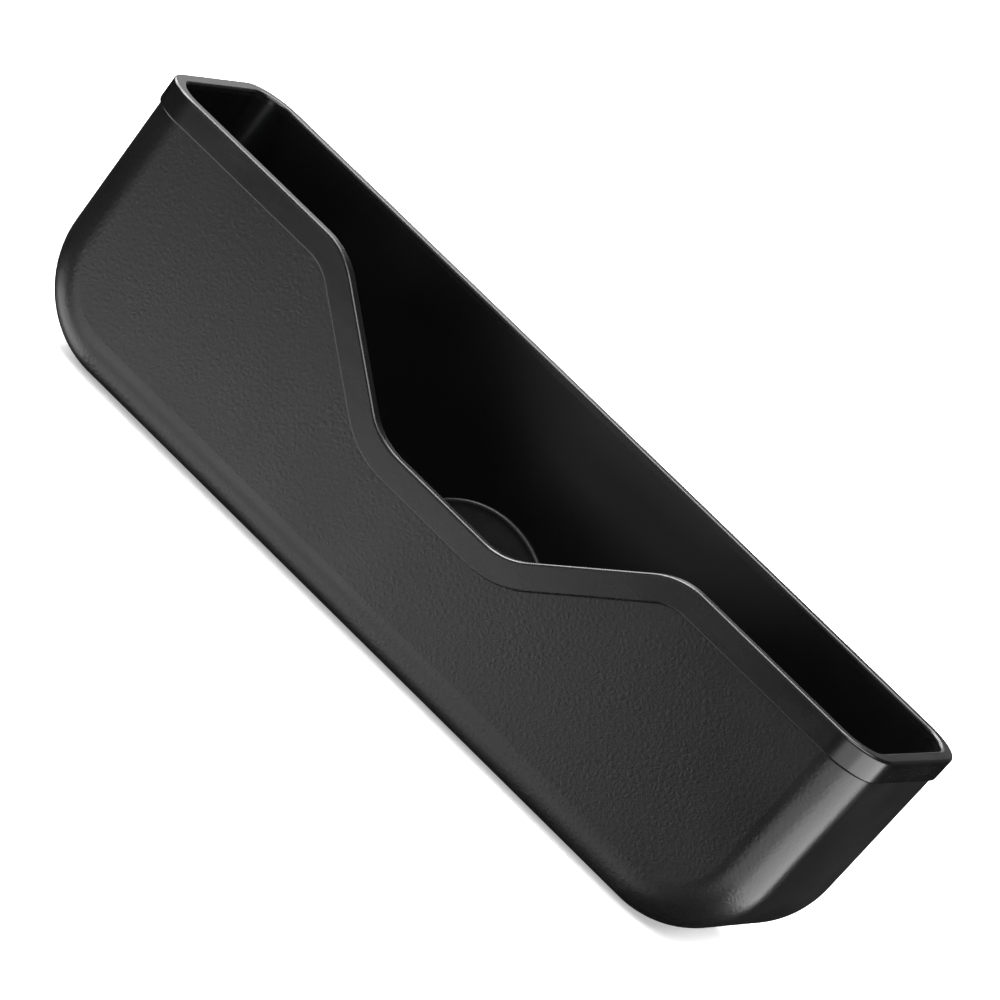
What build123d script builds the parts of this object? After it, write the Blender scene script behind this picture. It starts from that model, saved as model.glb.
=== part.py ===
from build123d import *
import os
from math import atan2, cos, radians, sin, tan

# Open-top glasses case for a dashboard or door panel. It is a grained plastic tray with a smooth
# band round its mouth, a wide notch in its front wall and foam tape pads on its back.
# Millimetres. X runs along the case, the front faces -Y, Z is up.
# The origin is at the bottom centre of the whole object.

# Overall size, over the band
RIM_LENGTH = 175.0
RIM_DEPTH = 43.0
HEIGHT = 49.7

# Tray
WALL = 2.0
END_DRAFT = 2.4         # degrees, how far each end wall leans out towards the mouth
FACE_DRAFT = 1.5        # degrees, the same for the front and back walls
END_ROUND = 19.5        # bottom corners of the tray as seen from the front
EDGE_ROUND = 8.0        # rounding all round the front and back faces

# Notch in the front wall, before its corners are rounded
NOTCH_TOP_HALF = 41.1
NOTCH_FLOOR_HALF = 15.2
NOTCH_DEPTH = 19.9
NOTCH_ROUND = 14.3

# Band round the mouth: an outer leg let into the tray's wall, and a web over the wall's top edge
BAND_WIDTH = 5.0
BAND_PROUD = 0.5
BAND_LET_IN = 1.0
BAND_WEB = 1.3
BAND_CREST_ROUND = 0.5
BAND_HEM_ROUND = 0.45
GLUE_GAP = 0.05

# Half-round pad on the inside of the back wall
INNER_PAD_RADIUS = 18.0
INNER_PAD_CENTRE_UP = 6.7
INNER_PAD_FOOT = 8.2
INNER_PAD_THICKNESS = 0.8
INNER_PAD_ROUND = 0.35

# Foam tape pads on the outside of the back wall, each under a release liner
TAPE_LENGTH = 52.0
TAPE_HEIGHT = 22.0
TAPE_THICKNESS = 1.2
TAPE_CORNER = 3.0
TAPE_OFF_CENTRE = 44.0
TAPE_CENTRE_UP = 25.0
LINER_THICKNESS = 0.12
LINER_TAB_LENGTH = 7.0
LINER_TAB_WIDTH = 10.0

# Working allowances for cutting tools
OVERRUN = 15.0          # how far a cutting shape runs past what it cuts
WIDE = 130.0            # half-width of a cutting shape along the case
TOUCHING = 0.001        # a point nearer than this to a surface lies on it


def case_block(grow):
    """Solid block with the tray's outer surface moved out by grow, left tall above the mouth."""
    lean_x = tan(radians(END_DRAFT))
    lean_y = tan(radians(FACE_DRAFT))
    rim_half_x = RIM_LENGTH / 2 + (grow - BAND_PROUD) / cos(radians(END_DRAFT))
    rim_half_y = RIM_DEPTH / 2 + (grow - BAND_PROUD) / cos(radians(FACE_DRAFT))
    floor = -grow
    top = HEIGHT + OVERRUN

    def half_x(z):
        return rim_half_x - (HEIGHT - z) * lean_x

    def half_y(z):
        return rim_half_y - (HEIGHT - z) * lean_y

    elevation = Polygon(
        (-half_x(top), top), (-half_x(floor), floor), (half_x(floor), floor), (half_x(top), top), align=None
    )
    foot = elevation.vertices().sort_by(Axis.Y)[:2]
    elevation = fillet(foot, END_ROUND + grow)
    front_shape = extrude(Plane.XZ * elevation, RIM_DEPTH, both=True)
    section = Polygon(
        (-half_y(top), top), (-half_y(floor), floor), (half_y(floor), floor), (half_y(top), top), align=None
    )
    side_shape = extrude(Plane.YZ * section, RIM_LENGTH, both=True)
    block = front_shape & side_shape
    front_face = block.faces().sort_by(Axis.Y)[0]
    back_face = block.faces().sort_by(Axis.Y)[-1]
    rounded = ShapeList(
        edge for face in (front_face, back_face) for edge in face.edges() if edge.center().Z < top - 1
    )
    return fillet(rounded, EDGE_ROUND + grow)


def above_mouth(drop):
    """Everything above the mouth's edge, with that edge moved in by drop, square to itself."""
    slope = atan2(NOTCH_DEPTH, NOTCH_TOP_HALF - NOTCH_FLOOR_HALF)
    spread = drop * tan(slope / 2)
    shoulder = NOTCH_TOP_HALF + spread
    valley = NOTCH_FLOOR_HALF + spread
    level = HEIGHT - drop
    lid_top = HEIGHT + OVERRUN
    notch = Polygon(
        (-WIDE, lid_top), (-WIDE, level), (-shoulder, level), (-valley, level - NOTCH_DEPTH),
        (valley, level - NOTCH_DEPTH), (shoulder, level), (WIDE, level), (WIDE, lid_top), align=None
    )
    shoulders = [v for v in notch.vertices() if abs(abs(v.X) - shoulder) < 0.01]
    notch = fillet(shoulders, NOTCH_ROUND - drop)
    valleys = [v for v in notch.vertices() if abs(v.Y - (level - NOTCH_DEPTH)) < 0.01]
    notch = fillet(valleys, NOTCH_ROUND + drop)
    front_cut = extrude(Plane.XZ * notch, RIM_DEPTH)
    back_cut = Pos(0, 0, level) * Box(
        2 * WIDE, 2 * RIM_DEPTH, lid_top - level, align=(Align.CENTER, Align.CENTER, Align.MIN)
    )
    return front_cut + back_cut


def edges_on(solid, *surfaces):
    """Edges of solid that lie, along their length, on every one of the surfaces."""
    def lies_on(edge, surface):
        return all(surface.shell().distance_to(edge.position_at(t)) < TOUCHING for t in (0.25, 0.5, 0.75))

    return ShapeList(edge for edge in solid.edges() if all(lies_on(edge, surface) for surface in surfaces))


def make_case_body():
    """Tray with a thin tongue round its mouth for the band."""
    tray = case_block(0) - case_block(-WALL)
    rebate = above_mouth(BAND_WIDTH) - case_block(-BAND_LET_IN - GLUE_GAP)
    return tray - rebate - above_mouth(BAND_WEB)


def make_rim_band():
    """Band round the mouth, an L in section, with a rounded crest and a softened lower edge."""
    outside = case_block(BAND_PROUD)
    band = ((outside - case_block(-WALL)) & above_mouth(BAND_WIDTH)) - above_mouth(0)
    band = fillet(edges_on(band, above_mouth(0)), BAND_CREST_ROUND)
    band = fillet(edges_on(band, above_mouth(BAND_WIDTH), outside), BAND_HEM_ROUND)
    tongue = case_block(-BAND_LET_IN) - above_mouth(BAND_WEB)
    return band - tongue


def back_wall_plane(up, depth_in):
    """Plane on the back wall at height up, depth_in below its outer face, looking out of the case."""
    lean = radians(FACE_DRAFT)
    wall_y = RIM_DEPTH / 2 - BAND_PROUD / cos(lean) - (HEIGHT - up) * tan(lean)
    normal = Vector(0, cos(lean), -sin(lean))
    return Plane(origin=Vector(0, wall_y, up) - normal * depth_in, x_dir=(-1, 0, 0), z_dir=normal)


def make_back_wall_pad():
    """Half-round pad that stands on the inner face of the back wall."""
    foot = INNER_PAD_FOOT - INNER_PAD_CENTRE_UP
    outline = Circle(INNER_PAD_RADIUS) & Pos(0, foot) * Rectangle(
        2 * INNER_PAD_RADIUS, 2 * INNER_PAD_RADIUS, align=(Align.CENTER, Align.MIN)
    )
    pad = extrude(outline, -INNER_PAD_THICKNESS)
    inner_face = pad.faces().sort_by(Axis.Z)[0]
    return back_wall_plane(INNER_PAD_CENTRE_UP, WALL) * fillet(inner_face.edges(), INNER_PAD_ROUND)


def make_tape_pad(side):
    """Foam tape pad on the back wall; side is -1 for the left one and 1 for the right one."""
    face = back_wall_plane(TAPE_CENTRE_UP, 0)
    outline = Pos(-side * TAPE_OFF_CENTRE, 0) * RectangleRounded(TAPE_LENGTH, TAPE_HEIGHT, TAPE_CORNER)
    return extrude(face * outline, TAPE_THICKNESS)


def make_liner(side):
    """Release liner over a tape pad, with a pull tab past the pad's outer end."""
    face = back_wall_plane(TAPE_CENTRE_UP, -TAPE_THICKNESS)
    outline = Pos(-side * TAPE_OFF_CENTRE, 0) * RectangleRounded(TAPE_LENGTH, TAPE_HEIGHT, TAPE_CORNER)
    tab_middle = TAPE_OFF_CENTRE + TAPE_LENGTH / 2 + LINER_TAB_LENGTH / 2 - TAPE_CORNER / 2
    tab = Pos(-side * tab_middle, 0) * RectangleRounded(
        LINER_TAB_LENGTH + TAPE_CORNER, LINER_TAB_WIDTH, TAPE_CORNER
    )
    return extrude(face * (outline + tab), LINER_THICKNESS)


nodes = {
    "case_body": make_case_body(),
    "rim_band": make_rim_band(),
    "back_wall_pad": make_back_wall_pad(),
}
for name, side in (("left", -1), ("right", 1)):
    nodes["adhesive_pad_" + name] = make_tape_pad(side)
    nodes["release_liner_" + name] = make_liner(side)

# The tape pads stand out past the band, so everything moves to put the origin at the middle.
whole = Compound(children=[Compound(solid.solids()) for solid in nodes.values()]).bounding_box()
to_origin = Pos(0, -whole.center().Y, 0)

os.makedirs("parts", exist_ok=True)
for name, solid in nodes.items():
    export_step(to_origin * solid, "parts/" + name + ".step")
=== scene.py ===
import math

import bpy
from mathutils import Matrix, Vector, noise


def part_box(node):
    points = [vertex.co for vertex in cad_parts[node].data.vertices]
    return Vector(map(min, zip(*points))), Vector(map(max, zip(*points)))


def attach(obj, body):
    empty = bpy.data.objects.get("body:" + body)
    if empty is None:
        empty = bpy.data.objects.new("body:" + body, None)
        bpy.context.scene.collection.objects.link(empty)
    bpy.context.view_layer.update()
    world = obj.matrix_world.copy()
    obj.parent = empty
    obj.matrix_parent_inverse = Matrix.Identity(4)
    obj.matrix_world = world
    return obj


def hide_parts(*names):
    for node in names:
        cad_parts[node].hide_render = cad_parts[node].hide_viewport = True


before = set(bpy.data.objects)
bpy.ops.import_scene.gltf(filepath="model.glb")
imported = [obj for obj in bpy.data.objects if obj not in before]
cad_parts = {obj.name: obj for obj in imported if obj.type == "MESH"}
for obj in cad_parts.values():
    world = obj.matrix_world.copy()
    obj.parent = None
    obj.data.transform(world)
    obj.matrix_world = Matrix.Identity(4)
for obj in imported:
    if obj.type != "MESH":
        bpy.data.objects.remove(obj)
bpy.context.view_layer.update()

BODY = "root"

# Camera: where it stands round the case, and how it is rolled
CAMERA_AZIMUTH = 18.33       # degrees
CAMERA_ELEVATION = 14.99
CAMERA_ROLL = 39.38
CAMERA_DISTANCE = 1.508      # metres
CAMERA_LENS = 319.5          # millimetres, like the next
CAMERA_SENSOR = 36.0
CAMERA_RIGHT = 0.00463       # metres from the line through the aim, as the camera sees it
CAMERA_UP = 0.00381
AIM_HEIGHT = 0.025           # metres above the floor

# Soft panels round the case: name, azimuth and elevation in degrees, distance, width and height in
# metres, and watts. Those below the floor light the case through it.
PANELS = (
    ("front_low", -28, -27, 0.3, 0.19, 0.115, 0.15),
    ("front_mid", -24, 5, 1.0, 0.4, 0.6, 0.7),
    ("front_under", -30, -50, 1.0, 0.6, 0.5, 1.1),
    ("left_under", -90, -50, 1.0, 0.6, 0.5, 2.4),
    ("left_near", -60, -68, 0.3, 0.12, 0.12, 0.04),
    ("right_low", 96, -19, 1.0, 1.25, 0.55, 11.0),
    ("right_front_low", 40, -15, 1.0, 0.8, 0.42, 2.7),
    ("back_low", 208, -13, 1.0, 0.4, 0.3, 0.4),
    ("right_high", 60, 50, 1.0, 1.1, 0.5, 11.0),
    ("left_high", -90, 50, 1.0, 0.6, 0.5, 17.0),
    ("back_high", -150, 50, 1.0, 0.6, 0.5, 9.0),
    ("top", 0, 86, 1.0, 0.6, 0.6, 3.0),
    ("left_side", -115, 22, 1.0, 0.7, 0.45, 7.0),
    ("behind", 178, 10, 1.0, 0.9, 0.45, 0.14),
    ("behind_left", -152, 14, 1.0, 0.35, 0.4, 0.36),
)
SKY = 0.9                    # strength of the white surroundings
FLOOR_SIZE = 8.0             # metres

# The case, in metres and degrees, as it is designed
WALL_LEAN = 1.5              # how far the back wall leans out towards the mouth
INNER_PAD_THICKNESS = 0.0008
TAPE_THICKNESS = 0.0012
TAPE_CORNER = 0.003
LINER_THICKNESS = 0.00012
LINER_TAB_HALF = 0.005
HOLLOW_MIDDLE = (0, 0, 0.03)  # a point inside the compartment

# How the soft pieces depart from their CAD solids, in metres unless it says otherwise
PAD_CORNER = 0.0012          # rounding of the inner pad's two lower corners
PAD_FIELD = 0.66             # height of the inner pad's field, as a part of its thickness
TAPE_BOW = 0.00008           # how far the tape's cut edge bulges, halfway through its thickness
TAPE_INSET = 0.00002         # how far inside the outline that bulge stays
FILM_GAP = 0.00001           # least gap between the film and the tape
FILM_WAVE = 0.00005          # mean height of the film's broad waves
FILM_RIPPLE = 0.00001        # and of the fine ripple on them
CURL_START = 0.97            # part of the tape's half-length at which the film starts to lift
CURL_RATE = 11.0             # its lift over the square of the distance past there, per metre

# Fineness of the soft meshes, in steps
CORNER_STEPS = 8
PAD_ARC_STEPS = 90
PAD_FOOT_STEPS = 50
PAD_FIELD_RINGS = 25
TAPE_SIDE_STEPS = 24
TAPE_FOOT_STEPS = 60
TAPE_EDGE_STEPS = 8
FILM_COLUMNS = 104
TAB_COLUMNS = 14
FILM_ROWS = 40


# ---------------------------------------------------------------- camera, lights and floor

def direction(azimuth, elevation):
    """Unit vector from the case towards azimuth, measured from the front towards the right end."""
    a, e = math.radians(azimuth), math.radians(elevation)
    return Vector((math.sin(a) * math.cos(e), -math.cos(a) * math.cos(e), math.sin(e)))


def place_camera(aim):
    """Camera that looks towards aim, rolled about its line of sight."""
    back = direction(CAMERA_AZIMUTH, CAMERA_ELEVATION)
    level = Vector((0, 0, 1)).cross(back).normalized()
    upright = back.cross(level)
    roll = math.radians(CAMERA_ROLL)
    right = math.cos(roll) * level + math.sin(roll) * upright
    up = back.cross(right)
    eye = aim + CAMERA_DISTANCE * back + CAMERA_RIGHT * right + CAMERA_UP * up
    camera = bpy.data.objects.new("camera", bpy.data.cameras.new("camera"))
    bpy.context.scene.collection.objects.link(camera)
    columns = Matrix((right, up, back)).transposed().to_4x4()
    camera.matrix_world = Matrix.Translation(eye) @ columns
    camera.data.lens = CAMERA_LENS
    camera.data.sensor_width = CAMERA_SENSOR
    camera.data.clip_start = 0.01
    camera.data.clip_end = 100.0
    bpy.context.scene.camera = camera


def hang_panel(aim, name, azimuth, elevation, distance, width, height, watts):
    """Soft light panel that faces aim and isn't seen itself."""
    lamp = bpy.data.lights.new(name, "AREA")
    lamp.shape = "RECTANGLE"
    lamp.size = width
    lamp.size_y = height
    lamp.energy = watts
    panel = bpy.data.objects.new(name, lamp)
    bpy.context.scene.collection.objects.link(panel)
    back = direction(azimuth, elevation)
    panel.location = aim + distance * back
    panel.rotation_mode = "QUATERNION"
    panel.rotation_quaternion = back.to_track_quat("Z", "Y")
    panel.visible_camera = False


def lay_floor(material):
    """Floor that the camera sees, but that neither shows in the gloss nor blocks the panels below it."""
    bpy.ops.mesh.primitive_plane_add(size=FLOOR_SIZE, location=(0, 0, 0))
    floor = bpy.context.object
    floor.name = "floor"
    floor.data.materials.append(material)
    floor.visible_glossy = False
    floor.visible_shadow = False


def make_sky():
    """Even white surroundings, which light the case but don't show in its gloss."""
    sky = bpy.data.worlds.new("studio")
    sky.use_nodes = True
    sky.node_tree.nodes["Background"].inputs["Color"].default_value = (1, 1, 1, 1)
    sky.node_tree.nodes["Background"].inputs["Strength"].default_value = SKY
    sky.cycles_visibility.glossy = False
    bpy.context.scene.world = sky


# ---------------------------------------------------------------- materials

class Look:
    """A material, with short calls that add nodes to it. Its patterns lie in the object's own metres."""

    def __init__(self, name, **fixed):
        self.material = bpy.data.materials.new(name)
        self.material.use_nodes = True
        self.tree = self.material.node_tree
        self.shader = self.tree.nodes["Principled BSDF"]
        self.place = self.tree.nodes.new("ShaderNodeTexCoord").outputs["Object"]
        self.wire(self.shader, {key.replace("_", " "): value for key, value in fixed.items()})

    def wire(self, node, inputs):
        """Set each input to a number or colour, or link it to a socket."""
        for key, value in inputs.items():
            if isinstance(value, bpy.types.NodeSocket):
                self.tree.links.new(value, node.inputs[key])
            else:
                node.inputs[key].default_value = value
        return node

    def add(self, kind, inputs, **settings):
        node = self.tree.nodes.new("ShaderNode" + kind)
        for key, value in settings.items():
            setattr(node, key, value)
        return self.wire(node, inputs)

    def noise(self, scale, detail=2.0, place=None):
        node = self.add("TexNoise", {"Vector": place or self.place, "Scale": scale, "Detail": detail})
        return node.outputs["Fac"]

    def calc(self, operation, first, second=0.0):
        return self.add("Math", {0: first, 1: second}, operation=operation).outputs[0]

    def ramp(self, value, low, high, to_low=0.0, to_high=1.0):
        inputs = {"Value": value, "From Min": low, "From Max": high, "To Min": to_low, "To Max": to_high}
        return self.add("MapRange", inputs, interpolation_type="SMOOTHSTEP").outputs["Result"]

    def mix(self, factor, first, second):
        """Number between first and second."""
        node = self.add("Mix", {0: factor, 2: first, 3: second}, data_type="FLOAT")
        return node.outputs[0]

    def tint(self, factor, first, second):
        """Colour between first and second."""
        node = self.add("Mix", {0: factor, 6: (*first, 1), 7: (*second, 1)}, data_type="RGBA")
        return node.outputs[2]

    def stretch(self, factors):
        node = self.add("VectorMath", {0: self.place, 1: factors}, operation="MULTIPLY")
        return node.outputs["Vector"]

    def warp(self, scale, amount):
        """The place, pushed about by noise."""
        push = self.add("TexNoise", {"Vector": self.place, "Scale": scale, "Detail": 2.0}).outputs["Color"]
        centred = self.add("VectorMath", {0: push, 1: (0.5, 0.5, 0.5)}, operation="SUBTRACT")
        scaled = self.add("VectorMath", {0: centred.outputs[0], "Scale": amount}, operation="SCALE")
        moved = self.add("VectorMath", {0: self.place, 1: scaled.outputs[0]}, operation="ADD")
        return moved.outputs["Vector"]

    def creases(self, scale, width, place):
        """0 in the creases between cells, and 1 away from them."""
        inputs = {"Vector": place, "Scale": scale}
        cells = self.add("TexVoronoi", inputs, feature="DISTANCE_TO_EDGE")
        return self.ramp(cells.outputs["Distance"], 0.0, width)

    def height_up(self, low, high):
        """0 below low and 1 above high, in metres up."""
        parts = self.add("SeparateXYZ", {"Vector": self.place})
        return self.ramp(parts.outputs["Z"], low, high)

    def facing_out(self):
        """1 on the outside of the case and 0 inside the compartment."""
        normal = self.add("NewGeometry", {}).outputs["True Normal"]
        away = self.add("VectorMath", {0: self.place, 1: HOLLOW_MIDDLE}, operation="SUBTRACT")
        facing = self.add("VectorMath", {0: normal, 1: away.outputs[0]}, operation="DOT_PRODUCT")
        return self.calc("GREATER_THAN", facing.outputs["Value"], 0.0)

    def bump(self, height, depth):
        """Relief of that depth in metres, on top of any relief that is there already."""
        inputs = {"Height": height, "Distance": depth, "Strength": 1.0}
        if self.shader.inputs["Normal"].is_linked:
            inputs["Normal"] = self.shader.inputs["Normal"].links[0].from_socket
        self.wire(self.shader, {"Normal": self.add("Bump", inputs).outputs["Normal"]})


def grained_plastic():
    """Black ABS with a fine leather grain outside and a spark-eroded matt inside, whose colour is darkened
    as painted shade.
    """
    look = Look("grained_plastic", Specular_IOR_Level=0.5)
    outside = look.facing_out()
    blotch = look.noise(45.0, 3.0)
    pebbles = look.creases(900.0, 0.45, look.warp(650.0, 0.0010))
    patches = look.ramp(look.noise(120.0, 2.0), 0.3, 0.7, 0.55, 1.0)
    fine = look.noise(2400.0, 3.0)
    leather = look.calc("ADD", look.calc("MULTIPLY", pebbles, patches), look.calc("MULTIPLY", fine, 0.6))
    matt = look.calc("MULTIPLY", look.noise(5200.0, 2.0), 0.25)
    look.bump(look.mix(outside, matt, leather), 0.00002)
    scratches = look.ramp(look.noise(900.0, 4.0), 0.5, 0.7)
    scuffed = look.calc("MULTIPLY", look.height_up(0.0016, 0.0), scratches)
    rough_inside = look.ramp(blotch, 0.3, 0.7, 0.30, 0.36)
    rough_unworn = look.ramp(blotch, 0.3, 0.7, 0.31, 0.37)
    rough_outside = look.calc("ADD", rough_unworn, look.calc("MULTIPLY", scuffed, 0.12))
    worn = look.add("Mix", {
        0: look.calc("MULTIPLY", scuffed, 0.5),
        6: look.tint(blotch, (0.0028, 0.0028, 0.0030), (0.0038, 0.0038, 0.0040)),
        7: (0.03, 0.03, 0.03, 1),
    }, data_type="RGBA").outputs[2]
    # The inside's colour is far darker than the outside's: painted shade in the compartment.
    colour = look.add("Mix", {0: outside, 6: (0.0007, 0.0007, 0.0008, 1), 7: worn}, data_type="RGBA")
    look.wire(look.shader, {
        "Roughness": look.mix(outside, rough_inside, rough_outside),
        "Base Color": colour.outputs[2],
    })
    return look.material


def smooth_plastic():
    """Satin black ABS of the band, with faint handling marks."""
    look = Look("smooth_plastic", Specular_IOR_Level=0.5)
    smears = look.noise(70.0, 4.0, look.stretch((1.0, 1.0, 3.0)))
    look.bump(look.noise(3800.0, 2.0), 0.0000045)
    look.bump(look.noise(260.0, 1.0), 0.000002)
    look.wire(look.shader, {
        "Roughness": look.ramp(smears, 0.3, 0.7, 0.23, 0.29),
        "Base Color": look.tint(smears, (0.0026, 0.0026, 0.0028), (0.0036, 0.0036, 0.0038)),
    })
    return look.material


def soft_rubber():
    """Matt foam rubber of the inner pad."""
    look = Look("soft_pad", Specular_IOR_Level=0.4)
    look.bump(look.noise(4200.0, 3.0), 0.00002)
    look.bump(look.creases(1500.0, 0.3, look.warp(900.0, 0.0004)), 0.000008)
    mottled = look.noise(300.0, 4.0)
    look.wire(look.shader, {
        "Roughness": look.ramp(mottled, 0.3, 0.7, 0.42, 0.5),
        "Base Color": look.tint(mottled, (0.007, 0.007, 0.0073), (0.011, 0.011, 0.0113)),
    })
    return look.material


def tape_foam():
    """Closed-cell foam of the tape, cut open along its edges, with painted shade in the creases between
    its cells.
    """
    look = Look("tape_foam", Specular_IOR_Level=0.35)
    cells = look.creases(3200.0, 0.35, look.warp(1400.0, 0.0002))
    look.bump(cells, 0.00005)
    look.wire(look.shader, {
        "Roughness": look.ramp(look.noise(800.0, 3.0), 0.3, 0.7, 0.75, 0.9),
        # Darker in the creases between cells: painted shade.
        "Base Color": look.tint(cells, (0.012, 0.012, 0.013), (0.035, 0.035, 0.037)),
    })
    return look.material


def liner_film():
    """Glossy red release film with fine ripples and a few creases."""
    look = Look("liner_film", Specular_IOR_Level=0.5, Coat_Weight=0.3, Coat_Roughness=0.12)
    ripples = look.noise(120.0, 2.0, look.stretch((1.0, 1.0, 0.35)))
    look.bump(ripples, 0.00005)
    look.bump(look.creases(60.0, 0.015, look.warp(40.0, 0.006)), 0.000012)
    thin = look.noise(60.0, 2.0)
    look.wire(look.shader, {
        "Roughness": look.ramp(thin, 0.3, 0.7, 0.22, 0.34),
        "Base Color": look.tint(thin, (0.15, 0.005, 0.005), (0.19, 0.007, 0.006)),
    })
    return look.material


def floor_paper():
    """White paper on a light table, which keeps the contact shadow faint."""
    look = Look("floor_paper", Specular_IOR_Level=0.1, Emission_Color=(1, 1, 1, 1), Emission_Strength=0.35)
    fibres = look.noise(1500.0, 4.0)
    look.bump(fibres, 0.00002)
    look.wire(look.shader, {
        "Roughness": look.ramp(fibres, 0.3, 0.7, 0.85, 0.95),
        "Base Color": look.tint(look.noise(3.0), (0.9, 0.9, 0.9), (0.93, 0.93, 0.93)),
    })
    return look.material


# ---------------------------------------------------------------- soft pieces

def wall_place(start, outward):
    """Function that turns (along, up the wall, off the wall), counted from start, into a point.

    outward is 1 on the back of the case and -1 inside the compartment.
    """
    lean = math.radians(WALL_LEAN)
    up_wall = Vector((0, math.sin(lean), math.cos(lean)))
    off_wall = outward * Vector((0, math.cos(lean), -math.sin(lean)))

    def place(along, up, off):
        return start + Vector((along, 0, 0)) + up * up_wall + off * off_wall

    return place


def inset(outline, distance):
    """Closed anticlockwise outline, moved in by distance."""
    moved = []
    for before, here, after in zip(outline[-1:] + outline[:-1], outline, outline[1:] + outline[:1]):
        first = (here - before).normalized()
        second = (after - here).normalized()
        inward = Vector((-first.y - second.y, first.x + second.x)).normalized()
        miter = max(0.5, inward.dot(Vector((-first.y, first.x))))
        moved.append(here + inward * distance / miter)
    return moved


def shrink(outline, part):
    """Closed outline shrunk towards its middle, to that part of its size."""
    middle = sum(outline, Vector((0, 0))) / len(outline)
    return [middle + (point - middle) * part for point in outline]


def turn(middle, radius, start, end, steps):
    """Points on an arc, from start to end in degrees."""
    angles = [math.radians(start + (end - start) * i / steps) for i in range(steps + 1)]
    return [middle + radius * Vector((math.cos(a), math.sin(a))) for a in angles]


def along(start, end, steps):
    """Points between start and end, without the two ends."""
    return [start.lerp(end, i / steps) for i in range(1, steps)]


def half_round(half_width, height, corner):
    """Half-round outline on a straight foot, with its two lower corners rounded."""
    radius = (half_width ** 2 + height ** 2) / (2 * height)
    centre = Vector((0, height - radius))
    reach = math.sqrt((radius - corner) ** 2 - (corner - centre.y) ** 2)
    heel = Vector((reach, corner))
    heel_angle = math.degrees(math.atan2(heel.y - centre.y, heel.x))
    left_heel = Vector((-reach, corner))
    outline = turn(heel, corner, -90, heel_angle, CORNER_STEPS)
    outline += turn(centre, radius, heel_angle, 180 - heel_angle, PAD_ARC_STEPS)[1:-1]
    outline += turn(left_heel, corner, 180 - heel_angle, 270, CORNER_STEPS)
    outline += along(Vector((-reach, 0)), Vector((reach, 0)), PAD_FOOT_STEPS)
    return outline


def round_cornered(half_length, half_height, corner):
    """Rectangle with rounded corners, centred."""
    inner_x, inner_y = half_length - corner, half_height - corner
    outline = []
    for middle, start in (
        (Vector((inner_x, -inner_y)), -90), (Vector((inner_x, inner_y)), 0),
        (Vector((-inner_x, inner_y)), 90), (Vector((-inner_x, -inner_y)), 180),
    ):
        arc = turn(middle, corner, start, start + 90, CORNER_STEPS)
        if outline:
            outline += along(outline[-1], arc[0], TAPE_SIDE_STEPS)
        outline += arc
    return outline + along(outline[-1], outline[0], TAPE_FOOT_STEPS)


def close_rings(name, rings, place):
    """Smooth closed mesh through rings of (point, off the wall), capped at both ends."""
    count = len(rings[0])
    points = [place(p.x, p.y, off) for ring in rings for p, off in ring]
    faces = []
    for row in range(len(rings) - 1):
        for i in range(count):
            j = (i + 1) % count
            faces.append((row * count + i, row * count + j, (row + 1) * count + j, (row + 1) * count + i))
    for row, flip in ((0, True), (len(rings) - 1, False)):
        ring = rings[row]
        middle = sum((p for p, off in ring), Vector((0, 0))) / count
        points.append(place(middle.x, middle.y, ring[0][1]))
        for i in range(count):
            a, b = row * count + i, row * count + (i + 1) % count
            faces.append((b, a, len(points) - 1) if flip else (a, b, len(points) - 1))
    mesh = bpy.data.meshes.new(name)
    mesh.from_pydata(points, [], faces)
    mesh.validate()
    mesh.polygons.foreach_set("use_smooth", [True] * len(mesh.polygons))
    piece = bpy.data.objects.new(name, mesh)
    bpy.context.scene.collection.objects.link(piece)
    return piece


def ripple(point, per_metre, seed):
    """Smooth random number about 0 for a point on the wall, with about that many bumps to the metre."""
    return noise.noise(Vector((point.x * per_metre, point.y * per_metre, seed)))


def finish_piece(piece, node, material):
    """Let piece stand for node, with that material, fixed to the case."""
    piece.data.materials.append(material)
    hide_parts(node)
    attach(piece, BODY)


def make_inner_pad(material):
    """Half-round rubber pad with a raised lip, a little dished and not quite flat."""
    low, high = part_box("back_wall_pad")
    lean = math.radians(WALL_LEAN)
    tall = (high.z - low.z - INNER_PAD_THICKNESS * math.sin(lean)) / math.cos(lean)
    start = Vector(((low.x + high.x) / 2, high.y - tall * math.sin(lean), low.z))
    outline = half_round((high.x - low.x) / 2, tall, PAD_CORNER)
    lip = (
        (0, 0), (0, 0.55), (0.00005, 0.75), (0.00015, 0.9), (0.0003, 0.985), (0.00045, 1.0),
        (0.0006, 0.98), (0.00075, 0.9), (0.0009, 0.78), (0.0011, 0.7), (0.0014, PAD_FIELD),
    )
    rings = [[(p, part * INNER_PAD_THICKNESS) for p in inset(outline, depth)] for depth, part in lip]
    field = inset(outline, lip[-1][0])
    for i in range(1, PAD_FIELD_RINGS + 1):
        part = i / (PAD_FIELD_RINGS + 1)
        level = PAD_FIELD + 0.05 * math.sin(part * math.pi)
        ring = shrink(field, 1 - part)
        rings.append([(p, INNER_PAD_THICKNESS * (level + 0.04 * ripple(p, 260, 3.1))) for p in ring])
    piece = close_rings("inner_pad", rings, wall_place(start, -1))
    finish_piece(piece, "back_wall_pad", material)


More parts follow.
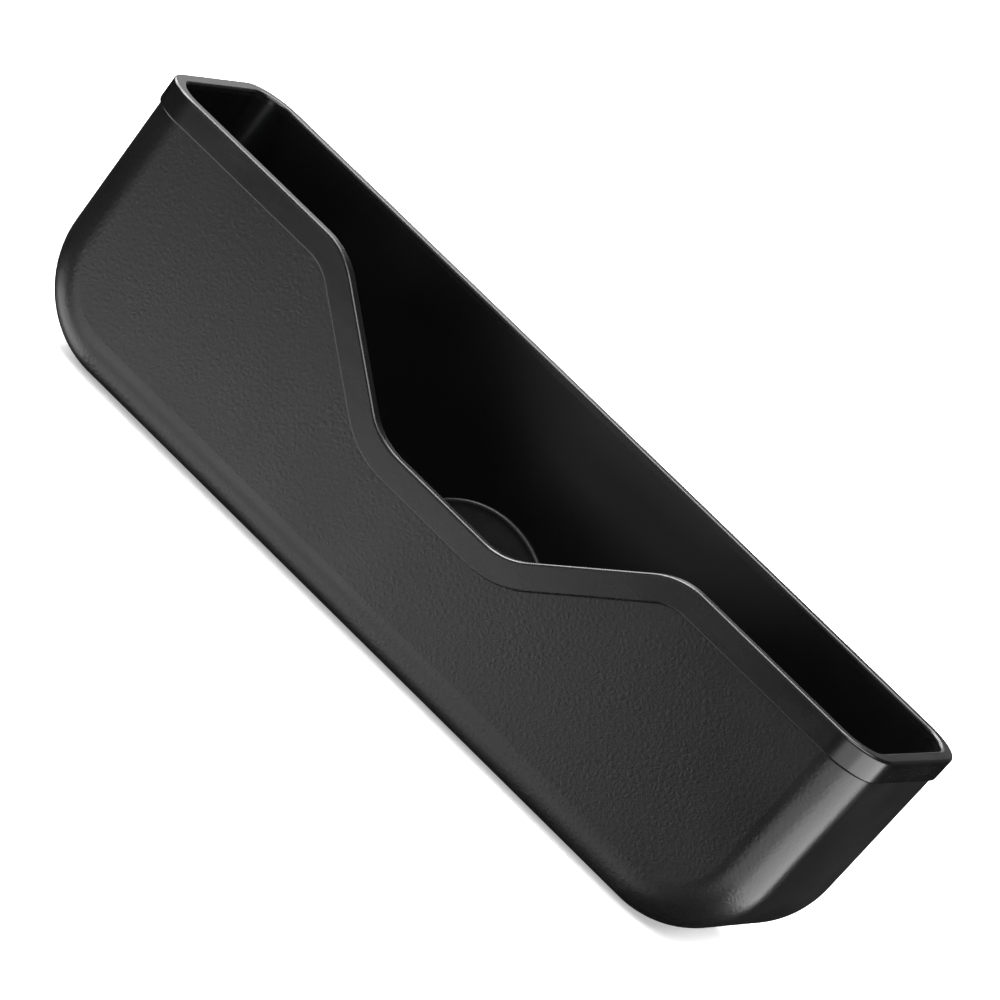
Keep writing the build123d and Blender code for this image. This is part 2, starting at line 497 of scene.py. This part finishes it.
def make_tape(side_name, material):
    """Foam tape pad, pressed flat, with slightly bowed and ragged cut edges."""
    node = "adhesive_pad_" + side_name
    low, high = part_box(node)
    lean = math.radians(WALL_LEAN)
    tall = (high.z - low.z - TAPE_THICKNESS * math.sin(lean)) / math.cos(lean)
    off_wall = Vector((0, math.cos(lean), -math.sin(lean)))
    start = (low + high) / 2 - off_wall * TAPE_THICKNESS / 2
    outline = round_cornered((high.x - low.x) / 2, tall / 2, TAPE_CORNER)
    rings = []
    for depth in (0.003, 0.001):
        rings.append([(p, 0.0) for p in inset(outline, depth)])
    for i in range(TAPE_EDGE_STEPS + 1):
        part = i / TAPE_EDGE_STEPS
        bow = TAPE_BOW * (1 - math.sin(part * math.pi)) + TAPE_INSET
        ring = inset(outline, bow)
        ragged = [p * (1 + 0.0012 * ripple(p, 900, 7 * part)) for p in ring]
        rings.append([(p, part * TAPE_THICKNESS) for p in ragged])
    for depth in (0.0004, 0.001, 0.003):
        rings.append([(p, TAPE_THICKNESS) for p in inset(outline, depth)])
    piece = close_rings("tape_" + side_name, rings, wall_place(start, 1))
    piece.data.flip_normals()    # the outside of the wall mirrors the rings
    finish_piece(piece, node, material)
    return start


def make_liner(side_name, side, tape_start, material):
    """Release film over a tape pad, lightly rippled, with its pull tab curling off."""
    node = "release_liner_" + side_name
    tape_low, tape_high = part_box("adhesive_pad_" + side_name)
    low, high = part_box(node)
    half_length = (tape_high.x - tape_low.x) / 2
    lean = math.radians(WALL_LEAN)
    half_height = (high.z - low.z - LINER_THICKNESS * math.sin(lean)) / math.cos(lean) / 2
    tab_end = max(high.x - tape_start.x, tape_start.x - low.x)
    place = wall_place(tape_start, 1)

    def rounded_half(from_end, half):
        """Half-width of the film that far from a rounded end."""
        if from_end >= TAPE_CORNER:
            return half
        return half - TAPE_CORNER + math.sqrt(max(0.0, TAPE_CORNER ** 2 - (TAPE_CORNER - from_end) ** 2))

    columns = []
    for i in range(FILM_COLUMNS + 1):
        x = -half_length + 2 * half_length * i / FILM_COLUMNS
        columns.append((x, rounded_half(half_length - abs(x), half_height)))
    for i in range(1, TAB_COLUMNS + 1):
        x = half_length + (tab_end - half_length) * i / TAB_COLUMNS
        columns.append((x, rounded_half(tab_end - x, LINER_TAB_HALF)))
    points, faces = [], []
    for face_off in (FILM_GAP, LINER_THICKNESS + FILM_GAP):
        for x, half in columns:
            curl = CURL_RATE * max(0.0, x - half_length * CURL_START) ** 2
            for r in range(FILM_ROWS + 1):
                p = Vector((x, half * (2 * r / FILM_ROWS - 1)))
                wave = FILM_WAVE * (1 + ripple(p, 90, side))
                lift = wave + FILM_RIPPLE * (1 + ripple(p, 400, side))
                points.append(place(side * x, p.y, TAPE_THICKNESS + face_off + lift + curl))
    column = FILM_ROWS + 1
    sheet = len(columns) * column
    for c in range(len(columns) - 1):
        for r in range(FILM_ROWS):
            a = c * column + r
            quad = (a, a + 1, a + column + 1, a + column)
            top = tuple(k + sheet for k in quad)
            faces += [quad[::-side], top[::side]]
    rim = list(range(column))
    rim += [c * column + FILM_ROWS for c in range(1, len(columns))]
    rim += [(len(columns) - 1) * column + r for r in range(FILM_ROWS - 1, -1, -1)]
    rim += [c * column for c in range(len(columns) - 2, 0, -1)]
    for a, b in zip(rim, rim[1:] + rim[:1]):
        faces.append((a, a + sheet, b + sheet, b)[::-side])
    mesh = bpy.data.meshes.new("liner_" + side_name)
    mesh.from_pydata(points, [], faces)
    mesh.validate()
    mesh.polygons.foreach_set("use_smooth", [True] * len(mesh.polygons))
    piece = bpy.data.objects.new("liner_" + side_name, mesh)
    bpy.context.scene.collection.objects.link(piece)
    finish_piece(piece, node, material)


# ---------------------------------------------------------------- the scene

aim = (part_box("rim_band")[0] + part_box("rim_band")[1]) / 2
aim.z = AIM_HEIGHT
place_camera(aim)
lay_floor(floor_paper())
for panel in PANELS:
    hang_panel(aim, *panel)
make_sky()
bpy.context.scene.view_settings.view_transform = "Standard"

for node, material in (("case_body", grained_plastic()), ("rim_band", smooth_plastic())):
    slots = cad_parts[node].data.materials
    slots.clear()
    slots.append(material)

make_inner_pad(soft_rubber())
foam, film = tape_foam(), liner_film()
for side_name, side in (("left", -1), ("right", 1)):
    tape_start = make_tape(side_name, foam)
    make_liner(side_name, side, tape_start, film)
